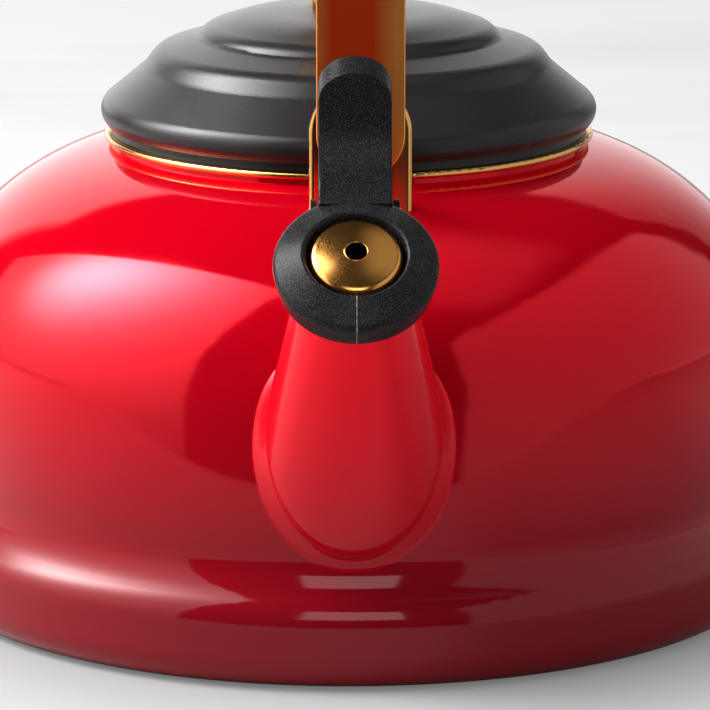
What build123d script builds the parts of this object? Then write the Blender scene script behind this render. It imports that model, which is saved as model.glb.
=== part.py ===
"""Stovetop whistling kettle with a folding bail handle, a lift-off lid and a flip-up whistle.

Millimetres, +Z up. The origin is the centre of the ring that the kettle stands on,
and the spout points towards -Y.
"""
import math
import os

from build123d import *

# Body shell, measured on its outer side
foot_radius = 110.0
foot_height = 16.3
foot_round = 8.0
stand_width = 6.0
waist_inset = 5.8
waist_height = 30.8
waist_round = 12.5
belly_radius = 107.5
belly_height = 66.1
shoulder_overlap = 18.6
shoulder_rise = 51.0
neck_radius = 60.8
neck_top = 117.4
shell_wall = 1.2

# Base plate
base_thickness = 1.2
base_margin = 0.4
base_dish_radius = 78.0
base_dish_rise = 1.0

# Metal trim round the neck
trim_overhang = 1.4
trim_wall = 0.8
trim_skirt = 8.0
trim_hook = 1.1
trim_cap = 0.6
trim_round = 0.8

# Spout: an oval tube between a round mouth, square to the whistle, and a root inside the body.
# The whistle's rim centre and the root's centre are placed from the belly.
cap_overhang = 32.5
cap_rise = 45.8
cap_angle = 49.5
mouth_radius = 12.8
root_inset = 22.3
root_drop = 34.7
root_lean = 20.9
root_half_width = 30.5
root_half_height = 21.8
spout_wall = 1.2

# Lid
lid_apex = 29.0
lid_land_radius = 10.5
lid_crown_radius = 26.0
lid_crown_height = 27.9
crown_edge_radius = 36.9
crown_edge_height = 24.2
upper_trough_radius = 38.4
upper_trough_height = 21.9
shelf_edge_radius = 48.8
shelf_edge_height = 18.9
lower_trough_radius = 51.9
lower_trough_height = 14.6
brim_overhang = 2.9
brim_height = 4.1
lid_lip_overhang = 1.2
lid_land_round = 30.0
lid_crown_round = 40.0
lid_edge_round = 6.0
upper_trough_round = 2.5
lower_trough_round = 5.0
brim_round = 4.2
lid_wall = 1.2
lid_band = 2.2
lid_band_overlap = 1.6
lid_skirt = 12.0
lid_skirt_wall = 1.0
lid_play = 0.6
lid_seat_gap = 0.1

# Knob
knob_foot_radius = 9.6
knob_foot_height = 3.0
knob_waist_radius = 6.0
knob_head_radius = 17.0
knob_head_thickness = 9.0
knob_height = 28.0
knob_flare = 2.5
knob_crown = 1.2
knob_foot_round = 0.8
knob_waist_round = 2.0
knob_neck_round = 4.5
knob_under_round = 2.0
knob_rim_round = 2.6
knob_bore_depth = 14.0
screw_grip = 10.0
screw_slot = 1.0
screw_slot_depth = 1.2
screw_radius = 2.0
screw_head_radius = 4.0
screw_head_height = 2.4
screw_head_round = 0.8
washer_radius = 6.5
washer_thickness = 1.0
screw_play = 0.2

# Handle brackets and pivots
bracket_seat = 70.0
bracket_thickness = 2.4
bracket_width = 25.0
bracket_edge = 1.2
pivot_rise = 12.6
handle_offset = 2.0
pivot_radius = 3.0
pivot_play = 0.05
pivot_gap = 0.1
pivot_head_radius = 6.0
pivot_head_height = 1.8
pivot_washer_radius = 8.0
pivot_washer_thickness = 0.6

# Handle straps and grip
strap_width = 21.5
strap_thickness = 2.0
strap_edge = 0.4
strap_bend = 22.0
handle_rise = 88.0
grip_length = 104.0
grip_width = 28.0
grip_above = 12.0
grip_below = 10.0
grip_crown = 2.5
grip_round = 7.5
tongue_length = 26.0
tongue_play = 0.1
grip_screw_inset = 14.0
grip_screw_grip = 6.0
grip_screw_recess = 3.4
grip_end_round = 2.5

# Whistle, measured from the plane of its rim
cap_radius = 19.6
cap_depth = 6.6
cap_back_radius = 18.2
cap_face = 0.6
cap_dome = 4.5
cap_round = 2.2
cap_lip_round = 0.8
cap_hole = 11.9
cap_bore = 11.3
cap_ledge = 10.2
cap_ledge_back = 2.5
cap_ledge_thickness = 1.0
cap_cavity = 16.6
disc_radius = 10.9
disc_thickness = 0.6
disc_edge = 1.6
disc_shoulder = 1.8
disc_dome = 1.7
disc_round = 2.0
disc_hole = 2.7
seal_thickness = 1.5
seal_margin = 0.2
mouth_gap = 0.3

# Whistle lever and its hinge
lever_width = 17.2
lever_thickness = 6.0
lever_curve = 23.0
lever_turn = 82.0
lever_start = 16.0
lever_tip_round = 8.4
lever_edge = 0.5
hinge_rise = 20.5
hinge_back = 6.8
hinge_pin_radius = 1.2
hinge_pin_round = 0.4
hinge_play = 0.05
knuckle_radius = 3.2
ear_gap = 0.3
ear_thickness = 1.5
ear_foot = 9.0
pin_stub = 0.4
collar_radius = 15.2
collar_length = 3.0
collar_gap = 0.6
spring_wire = 0.7
spring_radius = 2.5
spring_turns = 5.5
spring_lead = 1.15
spring_leg = 3.0
spring_room = 0.5

os.makedirs("parts", exist_ok=True)


def write(builder, name):
    """Label a finished piece and write its file."""
    builder.part.label = name
    export_step(builder.part, f"parts/{name}.step")


def turn(angle):
    """Cosine and sine of an angle in degrees."""
    return math.cos(math.radians(angle)), math.sin(math.radians(angle))


# Body of revolution: the waist lies inside the foot, and the shoulder's ellipse is centred inside the neck
waist_radius = foot_radius - waist_inset
shoulder_center = neck_radius - shoulder_overlap
shoulder_reach = belly_radius - shoulder_center
stand_outer = foot_radius - foot_round
stand_inner = stand_outer - stand_width
wall_lean = 2 * math.atan2(belly_radius - waist_radius, belly_height - waist_height)
foot_lean = 2 * math.atan2(foot_radius - waist_radius, waist_height - foot_height)


def neck_foot(inset):
    """Height at which the shoulder, moved inwards by inset, runs into the neck."""
    share = (neck_radius - inset - shoulder_center) / (shoulder_reach - inset)
    return belly_height + (shoulder_rise - inset) * math.sqrt(1 - share**2)


def body_side(inset):
    """Draw the side of the body from the neck to the stand ring, moved inwards by inset."""
    neck = neck_radius - inset
    reach = shoulder_reach - inset
    share = (neck - shoulder_center) / reach
    neck_angle = math.degrees(math.acos(share))
    hollow = waist_round + inset
    hollow_center = waist_radius + waist_round
    belly = (belly_radius - inset, belly_height)
    wall_end = (
        hollow_center - hollow * math.cos(wall_lean),
        waist_height + hollow * math.sin(wall_lean),
    )
    foot_start = (
        hollow_center - hollow * math.cos(foot_lean),
        waist_height - hollow * math.sin(foot_lean),
    )
    foot_top = (foot_radius - inset, foot_height)
    foot_side = (foot_radius - inset, foot_round)
    foot_under = (stand_outer, inset)
    Line((neck, neck_top), (neck, neck_foot(inset)))
    EllipticalCenterArc(
        (shoulder_center, belly_height), reach, shoulder_rise - inset, arc_size=neck_angle
    )
    TangentArc(belly, wall_end, tangent=(0, -1))
    TangentArc(wall_end, foot_start, tangent=(-math.sin(wall_lean), -math.cos(wall_lean)))
    TangentArc(foot_start, foot_top, tangent=(math.sin(foot_lean), -math.cos(foot_lean)))
    Line(foot_top, foot_side)
    TangentArc(foot_side, foot_under, tangent=(0, -1))
    Line(foot_under, (stand_inner, inset))


with BuildPart() as body_form:
    with BuildSketch(Plane.XZ):
        with BuildLine():
            body_side(0)
            Polyline((neck_radius, neck_top), (0, neck_top), (0, 0), (stand_inner, 0))
        make_face()
    revolve(axis=Axis.Z)

# Spout: its mouth lies behind the rim plane of the whistle, and the body's side cuts off its root
lean, rise = turn(cap_angle)
cap_center = Vector(0, -belly_radius - cap_overhang, belly_height + cap_rise)
cap_axis = Axis(cap_center, (0, -lean, rise))
cap_plane = Plane(origin=cap_center, x_dir=(1, 0, 0), z_dir=cap_axis.direction)
cap_section = Plane(origin=cap_center, x_dir=(0, rise, lean), z_dir=(1, 0, 0))
root_run, root_climb = turn(root_lean)
root_center = Vector(0, root_inset - belly_radius, belly_height - root_drop)
root_plane = Plane(origin=root_center, x_dir=(1, 0, 0), z_dir=(0, -root_run, root_climb))
mouth_level = -(cap_ledge_back + seal_thickness + mouth_gap)


def spout_tube(inset, level):
    """Loft the spout, moved inwards by inset, from its root to a level of the whistle's axis."""
    with BuildSketch(root_plane) as root:
        Ellipse(root_half_width - inset, root_half_height - inset)
    with BuildSketch(cap_plane.offset(level)) as mouth:
        Circle(mouth_radius - inset)
    loft([root.sketch.face(), mouth.sketch.face()], ruled=True)


with BuildPart() as spout_form:
    spout_tube(0, mouth_level)

with BuildPart() as spout_bore:
    spout_tube(spout_wall, mouth_level + spout_wall)

with BuildPart() as spout:
    add(spout_form.part)
    add(spout_bore.part, mode=Mode.SUBTRACT)
    add(body_form.part, mode=Mode.SUBTRACT)
write(spout, "spout")

# Body shell, with the opening that the spout's bore leaves in its wall
with BuildPart() as body_shell:
    with BuildSketch(Plane.XZ):
        with BuildLine():
            body_side(0)
            body_side(shell_wall)
            Line((neck_radius, neck_top), (neck_radius - shell_wall, neck_top))
            Line((stand_inner, 0), (stand_inner, shell_wall))
        make_face()
    revolve(axis=Axis.Z)
    add(spout_bore.part, mode=Mode.SUBTRACT)
write(body_shell, "body_shell")

# Base plate, lying on the inside of the stand ring and dished upwards in the middle
base_radius = stand_outer - base_margin
base_top = shell_wall + base_thickness
with BuildPart() as base_plate:
    with BuildSketch(Plane.XZ):
        with BuildLine():
            Polyline(
                (0, shell_wall + base_dish_rise),
                (base_dish_radius, shell_wall + base_dish_rise),
                (base_dish_radius + base_dish_rise, shell_wall),
                (base_radius, shell_wall),
                (base_radius, base_top),
                (base_dish_radius + base_dish_rise, base_top),
                (base_dish_radius, base_top + base_dish_rise),
                (0, base_top + base_dish_rise),
                close=True,
            )
        make_face()
    revolve(axis=Axis.Z)
write(base_plate, "base_plate")

# Neck trim: a bead that hooks over the neck's edge and lines its inside
neck_inner = neck_radius - shell_wall
trim_inner = neck_inner - trim_wall
trim_top = neck_top + trim_cap
trim_radius = neck_radius + trim_overhang
with BuildPart() as neck_trim:
    with BuildSketch(Plane.XZ) as trim_section:
        with BuildLine():
            Polyline(
                (trim_inner, neck_top - trim_skirt),
                (neck_inner, neck_top - trim_skirt),
                (neck_inner, neck_top),
                (neck_radius, neck_top),
                (neck_radius, neck_top - trim_hook),
                (trim_radius, neck_top - trim_hook),
                (trim_radius, trim_top),
                (trim_inner, trim_top),
                close=True,
            )
        make_face()
        fillet(trim_section.vertices().group_by(Axis.X)[-1], radius=trim_round)
    revolve(axis=Axis.Z)
write(neck_trim, "neck_trim")

# Lid: a stepped dome on a collar that drops into the neck
lid_seat = trim_top + lid_seat_gap
lid_base = lid_seat + lid_band
lid_band_radius = trim_inner + lid_band_overlap
lid_lip_radius = lid_band_radius + lid_lip_overhang
brim_radius = lid_lip_radius + brim_overhang
collar_inner = lid_band_radius - lid_skirt_wall
skirt_outer = trim_inner - lid_play
skirt_inner = skirt_outer - lid_skirt_wall


def lid_line(inset, lip):
    """Draw the lid's line from its apex to its lip, moved inwards by inset."""
    corners = (
        (lid_land_radius + inset, lid_apex, lid_land_round - inset),
        (lid_crown_radius, lid_crown_height, lid_crown_round - inset),
        (crown_edge_radius, crown_edge_height, lid_edge_round - inset),
        (upper_trough_radius, upper_trough_height, upper_trough_round + inset),
        (shelf_edge_radius, shelf_edge_height, lid_edge_round - inset),
        (lower_trough_radius, lower_trough_height, lower_trough_round + inset),
        (brim_radius, brim_height, brim_round - inset),
    )
    FilletPolyline(
        (0, lid_base + lid_apex - inset),
        *[(radius - inset, lid_base + height - inset) for radius, height, _ in corners],
        (lip, lid_base),
        radius=[corner_round for _, _, corner_round in corners],
    )


with BuildPart() as lid_shell:
    with BuildSketch(Plane.XZ):
        with BuildLine():
            lid_line(0, lid_lip_radius)
            lid_line(lid_wall, collar_inner)
            Line((0, lid_base + lid_apex), (0, lid_base + lid_apex - lid_wall))
            Line((lid_lip_radius, lid_base), (collar_inner, lid_base))
        make_face()
    revolve(axis=Axis.Z)
    with Locations((0, 0, lid_base + lid_apex)):
        Hole(screw_radius + screw_play, depth=2 * lid_wall)
write(lid_shell, "lid_shell")

with BuildPart() as lid_collar:
    with BuildSketch(Plane.XZ):
        with BuildLine():
            Polyline(
                (lid_band_radius, lid_base),
                (lid_band_radius, lid_seat),
                (skirt_outer, lid_seat),
                (skirt_outer, lid_seat - lid_skirt),
                (skirt_inner, lid_seat - lid_skirt),
                (skirt_inner, lid_seat + lid_skirt_wall),
                (collar_inner, lid_seat + lid_skirt_wall),
                (collar_inner, lid_base),
                close=True,
            )
        make_face()
    revolve(axis=Axis.Z)
write(lid_collar, "lid_collar")

# Knob, held by a screw and washer from under the lid
knob_base = lid_base + lid_apex
knob_top = knob_base + knob_height
knob_neck = knob_top - knob_head_thickness
with BuildPart() as knob:
    with BuildSketch(Plane.XZ):
        with BuildLine():
            FilletPolyline(
                (knob_foot_radius, knob_base),
                (knob_foot_radius, knob_base + knob_foot_height),
                (knob_waist_radius, knob_base + knob_foot_height + knob_flare),
                (knob_waist_radius, knob_neck),
                (knob_head_radius, knob_neck + knob_flare),
                (knob_head_radius, knob_top - knob_crown),
                (0, knob_top),
                radius=[knob_foot_round, knob_waist_round, knob_neck_round, knob_under_round, knob_rim_round],
            )
            Polyline((0, knob_top), (0, knob_base), (knob_foot_radius, knob_base))
        make_face()
    revolve(axis=Axis.Z)
    with Locations(Plane((0, 0, knob_base), z_dir=(0, 0, -1))):
        Hole(screw_radius, depth=knob_bore_depth)
write(knob, "knob")

lid_under = knob_base - lid_wall
washer_bottom = lid_under - washer_thickness
with BuildPart() as knob_washer:
    with BuildSketch(Plane.XY.offset(washer_bottom)):
        Circle(washer_radius)
        Circle(screw_radius + screw_play, mode=Mode.SUBTRACT)
    extrude(amount=washer_thickness)
write(knob_washer, "knob_washer")

with BuildPart() as knob_screw:
    with BuildSketch(Plane.XY.offset(washer_bottom - screw_head_height)):
        Circle(screw_head_radius)
    extrude(amount=screw_head_height)
    fillet(knob_screw.edges().sort_by(Axis.Z)[0], radius=screw_head_round)
    with BuildSketch(Plane.XY.offset(washer_bottom)):
        Circle(screw_radius)
    extrude(amount=washer_thickness + lid_wall + screw_grip)
    with BuildSketch(Plane.XY.offset(washer_bottom - screw_head_height)):
        Rectangle(2 * screw_head_radius, screw_slot)
    extrude(amount=screw_slot_depth, mode=Mode.SUBTRACT)
write(knob_screw, "knob_screw")

# Handle brackets: plates with a round top that stand on the shoulder, one at each end
pivot_height = neck_top + pivot_rise
bracket_front = bracket_seat + bracket_thickness
with BuildPart() as front_bracket:
    with BuildSketch(Plane.XZ.offset(bracket_seat)):
        with Locations((handle_offset, pivot_height)):
            Circle(bracket_width / 2)
        with Locations((handle_offset, pivot_height / 2 + belly_height / 2)):
            Rectangle(bracket_width, pivot_height - belly_height)
    extrude(amount=bracket_thickness)
    fillet(front_bracket.faces().sort_by(Axis.Y)[0].outer_wire().edges(), radius=bracket_edge)
    with Locations(Plane.XZ.offset(bracket_front)):
        with Locations((handle_offset, pivot_height)):
            Hole(pivot_radius)
    add(body_form.part, mode=Mode.SUBTRACT)
write(front_bracket, "front_bracket")

# Pivot at each end: a washer on the bracket, then the strap, held by a domed rivet
washer_face = bracket_front + pivot_washer_thickness
strap_back = washer_face + pivot_gap
strap_face = strap_back + strap_thickness
with BuildPart() as front_pivot_washer:
    with BuildSketch(Plane.XZ.offset(bracket_front)):
        with Locations((handle_offset, pivot_height)):
            Circle(pivot_washer_radius)
            Circle(pivot_radius, mode=Mode.SUBTRACT)
    extrude(amount=pivot_washer_thickness)
write(front_pivot_washer, "front_pivot_washer")


rivet_inner = bracket_seat
rivet_outer = strap_face + pivot_gap
pivot_axis = Axis((handle_offset, 0, pivot_height), (0, -1, 0))
with BuildPart() as front_pivot_rivet:
    with BuildSketch(Plane((handle_offset, 0, pivot_height))):
        with BuildLine():
            Line((0, pivot_head_height - rivet_inner), (0, -rivet_outer - pivot_head_height))
            TangentArc(
                (0, -rivet_outer - pivot_head_height), (pivot_head_radius, -rivet_outer), tangent=(1, 0)
            )
            Polyline(
                (pivot_head_radius, -rivet_outer),
                (pivot_radius, -rivet_outer),
                (pivot_radius, -rivet_inner),
                (pivot_head_radius, -rivet_inner),
            )
            TangentArc(
                (0, pivot_head_height - rivet_inner), (pivot_head_radius, -rivet_inner), tangent=(1, 0)
            )
        make_face()
    revolve(axis=pivot_axis)
write(front_pivot_rivet, "front_pivot_rivet")

# Handle straps: flat bars with a round lower end, bent over into the grip
grip_height = pivot_height + handle_rise
bend_start = grip_height - strap_thickness / 2 - strap_bend
tongue_end = strap_back - strap_bend - tongue_length
with BuildPart() as front_strap:
    with BuildSketch(Plane.XZ.offset(strap_back)):
        with Locations((handle_offset, pivot_height)):
            Circle(strap_width / 2)
        with Locations((handle_offset, (pivot_height + bend_start) / 2)):
            Rectangle(strap_width, bend_start - pivot_height)
    extrude(amount=strap_thickness)
    with BuildSketch(Plane.YZ.offset(handle_offset)):
        with BuildLine():
            outer_bend = JernArc((-strap_face, bend_start), (0, 1), strap_bend + strap_thickness, -90)
            inner_bend = JernArc((-strap_back, bend_start), (0, 1), strap_bend, -90)
            Line(outer_bend @ 0, inner_bend @ 0)
            tongue_top = Line(outer_bend @ 1, (-tongue_end, grip_height + strap_thickness / 2))
            tongue_bottom = Line(inner_bend @ 1, (-tongue_end, grip_height - strap_thickness / 2))
            Line(tongue_top @ 1, tongue_bottom @ 1)
        make_face()
    extrude(amount=strap_width / 2, both=True)
    strap_edges = front_strap.edges().filter_by(lambda edge: edge.length > 2 * strap_thickness)
    fillet(strap_edges.filter_by(Axis.X, reverse=True), radius=strap_edge)
    with Locations(Plane.XZ.offset(strap_face)):
        with Locations((handle_offset, pivot_height)):
            Hole(pivot_radius + pivot_play, depth=strap_thickness)
    with Locations((handle_offset, -tongue_end - grip_screw_inset, grip_height + strap_thickness)):
        Hole(screw_radius + screw_play, depth=2 * strap_thickness)
write(front_strap, "front_strap")

# Grip: a crowned bar, slotted at both ends for the straps
grip_half = grip_length / 2
grip_bottom = grip_height - grip_below
grip_top = grip_height + grip_above
slot_end = tongue_end - tongue_play
screw_shelf = grip_bottom + grip_crown + grip_screw_recess
with BuildPart() as grip:
    with BuildSketch(Plane.YZ.offset(handle_offset)):
        with BuildLine():
            ThreePointArc(
                (-grip_half, grip_top - grip_crown), (0, grip_top), (grip_half, grip_top - grip_crown)
            )
            Line((grip_half, grip_top - grip_crown), (grip_half, grip_bottom))
            ThreePointArc((grip_half, grip_bottom), (0, grip_bottom + grip_crown), (-grip_half, grip_bottom))
            Line((-grip_half, grip_bottom), (-grip_half, grip_top - grip_crown))
        make_face()
    extrude(amount=grip_width / 2, both=True)
    long_edges = grip.edges().filter_by(GeomType.CIRCLE)
    fillet(long_edges, radius=grip_round)
    fillet(grip.faces().filter_by(Axis.Y).edges(), radius=grip_end_round)
    for side in (-1, 1):
        with BuildSketch(Plane.YZ.offset(handle_offset)):
            with Locations((side * (grip_half + slot_end) / 2, grip_height)):
                Rectangle(grip_half - slot_end, strap_thickness + 2 * tongue_play)
        extrude(amount=strap_width / 2 + tongue_play, both=True, mode=Mode.SUBTRACT)
        with Locations((handle_offset, side * (tongue_end + grip_screw_inset), grip_height)):
            Cylinder(
                screw_radius,
                grip_screw_grip + tongue_play,
                align=(Align.CENTER, Align.CENTER, Align.MIN),
                mode=Mode.SUBTRACT,
            )
            Cylinder(
                screw_radius + screw_play,
                grip_below,
                align=(Align.CENTER, Align.CENTER, Align.MAX),
                mode=Mode.SUBTRACT,
            )
        with Locations((handle_offset, side * (tongue_end + grip_screw_inset), screw_shelf)):
            Cylinder(
                screw_head_radius + screw_play,
                grip_below,
                align=(Align.CENTER, Align.CENTER, Align.MAX),
                mode=Mode.SUBTRACT,
            )
write(grip, "grip")

screw_centers = [(handle_offset, side * (tongue_end + grip_screw_inset)) for side in (-1, 1)]
with BuildPart() as grip_screws:
    with BuildSketch(Plane.XY.offset(screw_shelf - screw_head_height)):
        with Locations(*screw_centers):
            Circle(screw_head_radius)
    extrude(amount=screw_head_height)
    fillet(grip_screws.edges().group_by(Axis.Z)[0], radius=screw_head_round)
    with BuildSketch(Plane.XY.offset(screw_shelf)):
        with Locations(*screw_centers):
            Circle(screw_radius)
    extrude(amount=grip_height + grip_screw_grip - screw_shelf)
    with BuildSketch(Plane.XY.offset(screw_shelf - screw_head_height)):
        with Locations(*screw_centers):
            Rectangle(2 * screw_head_radius, screw_slot)
    extrude(amount=screw_slot_depth, mode=Mode.SUBTRACT)
write(grip_screws, "grip_screws")

# The rear end of the handle mirrors the front
for name, front in (
    ("rear_bracket", front_bracket),
    ("rear_pivot_washer", front_pivot_washer),
    ("rear_pivot_rivet", front_pivot_rivet),
    ("rear_strap", front_strap),
):
    with BuildPart() as rear:
        mirror(front.part, about=Plane.XZ)
    write(rear, name)

# Whistle cap and thumb lever in one moulding
lever_half = lever_width / 2
dome_slope = (cap_dome - cap_face) / (cap_radius - cap_hole)
lever_face = cap_dome - (lever_start - cap_hole) * dome_slope
lever_back = lever_face - lever_thickness
hinge_spot = (hinge_rise, -hinge_back)
hinge_axis = Axis(cap_section.from_local_coords((*hinge_spot, 0)), (1, 0, 0))
knuckle_room = knuckle_radius + ear_gap
spring_outer = spring_radius + spring_wire / 2
spring_half = spring_turns * spring_wire * spring_lead / 2 + spring_wire / 2 + spring_room

with BuildPart() as lever_arm:
    with BuildSketch(cap_section):
        with BuildLine():
            face_line = JernArc((lever_start, lever_face), (1, 0), lever_curve, lever_turn)
            back_line = JernArc((lever_start, lever_back), (1, 0), lever_curve + lever_thickness, lever_turn)
            Line(face_line @ 0, back_line @ 0)
            Line(face_line @ 1, back_line @ 1)
        make_face()
    extrude(amount=lever_half, both=True)
    tip_face = lever_arm.faces().filter_by(GeomType.PLANE).sort_by(Axis.Z)[-1]
    fillet(tip_face.edges().filter_by(Axis.X, reverse=True), radius=lever_tip_round)
    thumb_face = lever_arm.faces().filter_by(GeomType.CYLINDER).sort_by(SortBy.RADIUS)[-2]
    fillet(thumb_face.edges().sort_by(Axis.Z)[1:], radius=lever_edge)

with BuildPart() as whistle_lever:
    with BuildSketch(cap_section):
        with BuildLine():
            FilletPolyline(
                (cap_bore, cap_ledge_thickness - cap_ledge_back),
                (cap_hole, cap_dome),
                (cap_radius, cap_face),
                (cap_back_radius, -cap_depth),
                (cap_cavity, -cap_depth),
                radius=[cap_lip_round, cap_round, (cap_back_radius - cap_cavity) / 2],
            )
            Polyline(
                (cap_cavity, -cap_depth),
                (cap_cavity, -cap_ledge_back),
                (cap_ledge, -cap_ledge_back),
                (cap_ledge, cap_ledge_thickness - cap_ledge_back),
                (cap_bore, cap_ledge_thickness - cap_ledge_back),
            )
        make_face()
    revolve(axis=cap_axis)
    add(lever_arm.part)
    with BuildSketch(cap_section):
        with Locations(hinge_spot):
            Circle(knuckle_radius)
        with Locations((hinge_rise, (lever_face - hinge_back) / 2)):
            Rectangle(2 * knuckle_radius, lever_face + hinge_back)
    extrude(amount=lever_half, both=True)
    with BuildSketch(cap_plane.offset(-cap_ledge_back)):
        Circle(cap_cavity)
    extrude(amount=-cap_radius, mode=Mode.SUBTRACT)
    with BuildSketch(cap_section):
        with Locations(hinge_spot):
            Circle(spring_outer + spring_room)
    extrude(amount=spring_half, both=True, mode=Mode.SUBTRACT)
    with BuildSketch(cap_section):
        with Locations(hinge_spot):
            Circle(hinge_pin_radius + hinge_play)
    extrude(amount=lever_width, both=True, mode=Mode.SUBTRACT)
write(whistle_lever, "whistle_lever")

# Whistle: a cup and a domed front disc, each with a hole in its middle
cup_back = cap_ledge_thickness - cap_ledge_back
with BuildPart() as whistle_cup:
    with BuildSketch(cap_section):
        with BuildLine():
            Polyline(
                (disc_hole, cup_back),
                (disc_radius, cup_back),
                (disc_radius, disc_edge),
                (disc_radius - disc_thickness, disc_edge),
                (disc_radius - disc_thickness, cup_back + disc_thickness),
                (disc_hole, cup_back + disc_thickness),
                close=True,
            )
        make_face()
    revolve(axis=cap_axis)
write(whistle_cup, "whistle_cup")

dome_edge = disc_edge + disc_shoulder
with BuildPart() as whistle_disc:
    with BuildSketch(cap_section) as disc_section:
        with BuildLine():
            dome = TangentArc((0, dome_edge + disc_dome), (disc_radius, dome_edge), tangent=(1, 0))
            Polyline(dome @ 1, (disc_radius, disc_edge), (0, disc_edge), dome @ 0)
        make_face()
        fillet(disc_section.vertices().group_by(Axis.X)[-1].sort_by(Axis.Y)[-1], radius=disc_round)
    revolve(axis=cap_axis)
    disc_back = whistle_disc.faces().filter_by(GeomType.PLANE)
    offset(amount=-disc_thickness, openings=disc_back)
    with BuildSketch(cap_plane):
        Circle(disc_hole)
    extrude(amount=cap_radius, mode=Mode.SUBTRACT)
write(whistle_disc, "whistle_disc")

# Seal ring between the cap and the spout's mouth
with BuildPart() as whistle_seal:
    with BuildSketch(cap_plane.offset(-cap_ledge_back)):
        Circle(cap_cavity - seal_margin)
        Circle(cap_ledge + seal_margin, mode=Mode.SUBTRACT)
    extrude(amount=-seal_thickness)
write(whistle_seal, "whistle_seal")

# Collar clamped round the spout, with an ear at each end of the hinge pin
collar_front = -cap_depth - collar_gap
collar_back = collar_front - collar_length
ear_inner = lever_half + ear_gap
with BuildPart() as spout_collar:
    with BuildSketch(cap_plane.offset(collar_back)):
        Circle(collar_radius)
    extrude(amount=collar_length)
    with BuildSketch(cap_section):
        with Locations(hinge_spot):
            Circle(knuckle_room)
    extrude(amount=ear_inner, both=True, mode=Mode.SUBTRACT)
    with BuildSketch(cap_section.offset(ear_inner), cap_section.offset(-ear_inner - ear_thickness)):
        with Locations(hinge_spot):
            Circle(knuckle_radius)
        with Locations(((hinge_rise + ear_foot) / 2, (collar_front + collar_back) / 2)):
            Rectangle(hinge_rise - ear_foot, collar_length)
        with Locations(hinge_spot):
            Circle(hinge_pin_radius, mode=Mode.SUBTRACT)
    extrude(amount=ear_thickness)
    add(spout_form.part, mode=Mode.SUBTRACT)
write(spout_collar, "spout_collar")

pin_half = ear_inner + ear_thickness + pin_stub
with BuildPart() as hinge_pin:
    with BuildSketch(cap_section):
        with Locations(hinge_spot):
            Circle(hinge_pin_radius)
    extrude(amount=pin_half, both=True)
    fillet(hinge_pin.edges().filter_by(GeomType.CIRCLE), radius=hinge_pin_round)
write(hinge_pin, "hinge_pin")

# Return spring, wound round the middle of the hinge pin
spring_pitch = spring_wire * spring_lead
spring_length = spring_pitch * spring_turns
spring_start = hinge_axis.position - Vector(spring_length / 2, 0, 0)
with BuildPart() as hinge_spring:
    with BuildLine():
        coil = Helix(spring_pitch, spring_length, spring_radius, center=spring_start, direction=(1, 0, 0))
    with BuildSketch(Plane(coil @ 0, z_dir=coil % 0)):
        Circle(spring_wire / 2)
    sweep()
    for end, direction in ((coil @ 0, coil % 0 * -1), (coil @ 1, coil % 1)):
        with BuildSketch(Plane(end, z_dir=direction)):
            Circle(spring_wire / 2)
        extrude(amount=spring_leg)
write(hinge_spring, "hinge_spring")
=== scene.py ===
"""Looks of a stovetop whistling kettle: the finishes of its solids, three modelled pieces and the stage."""
import math

import bmesh
import bpy
from bpy.props import FloatProperty, FloatVectorProperty, IntProperty, PointerProperty
from mathutils import Matrix, Vector


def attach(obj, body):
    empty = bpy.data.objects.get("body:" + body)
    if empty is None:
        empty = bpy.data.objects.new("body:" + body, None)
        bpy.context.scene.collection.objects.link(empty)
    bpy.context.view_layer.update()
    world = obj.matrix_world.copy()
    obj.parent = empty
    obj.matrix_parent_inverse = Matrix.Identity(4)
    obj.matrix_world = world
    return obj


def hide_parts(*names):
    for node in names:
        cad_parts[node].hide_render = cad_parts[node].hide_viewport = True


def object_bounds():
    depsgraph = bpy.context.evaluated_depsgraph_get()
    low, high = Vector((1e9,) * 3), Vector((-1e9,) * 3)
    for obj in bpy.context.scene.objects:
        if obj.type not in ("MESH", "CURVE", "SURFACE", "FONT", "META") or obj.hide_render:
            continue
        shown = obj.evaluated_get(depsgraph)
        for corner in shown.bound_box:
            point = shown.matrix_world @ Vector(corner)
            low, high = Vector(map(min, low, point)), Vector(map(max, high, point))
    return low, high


bl_info = {
    "name": "Whistling Kettle",
    "version": (1, 0, 0),
    "blender": (4, 5, 0),
    "location": "View3D > Sidebar > Kettle",
    "description": "Dresses the solids of a stovetop whistling kettle",
    "category": "Object",
}

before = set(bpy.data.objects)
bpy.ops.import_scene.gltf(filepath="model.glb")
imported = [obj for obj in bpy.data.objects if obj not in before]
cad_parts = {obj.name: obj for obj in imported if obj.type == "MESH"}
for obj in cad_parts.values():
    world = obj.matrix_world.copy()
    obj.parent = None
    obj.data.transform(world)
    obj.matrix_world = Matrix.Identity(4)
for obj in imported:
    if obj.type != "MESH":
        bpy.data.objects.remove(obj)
cad_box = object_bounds()

MM = 0.001
WHITE = (1.0, 1.0, 1.0)

# Range that nearly all values of a noise lie in
NOISE_RANGE = (0.3, 0.7)

# How fine brushed lines stretch a noise along the axes
UPRIGHT_LINES = (1.0, 1.0, 0.06)
STRAP_LINES = (5.0, 5.0, 0.2)
LEVEL_LINES = (1.0, 0.05, 1.0)
STONE_VEINS = (0.6, 2.4, 1.0)

# Rings of the spout's two sides, as shares of the way from the mouth
INNER_RINGS = (1.0, 0.66, 0.33, 0.06)
OUTER_RINGS = (0.06, 0.25, 0.5, 0.75)

# Halvings in a search for the place where a line meets the body
HALVINGS = 50

# Distances under which vertices are one, or lie on a cutting plane
WELD = 0.001 * MM
ON_PLANE = 0.0001 * MM


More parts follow.
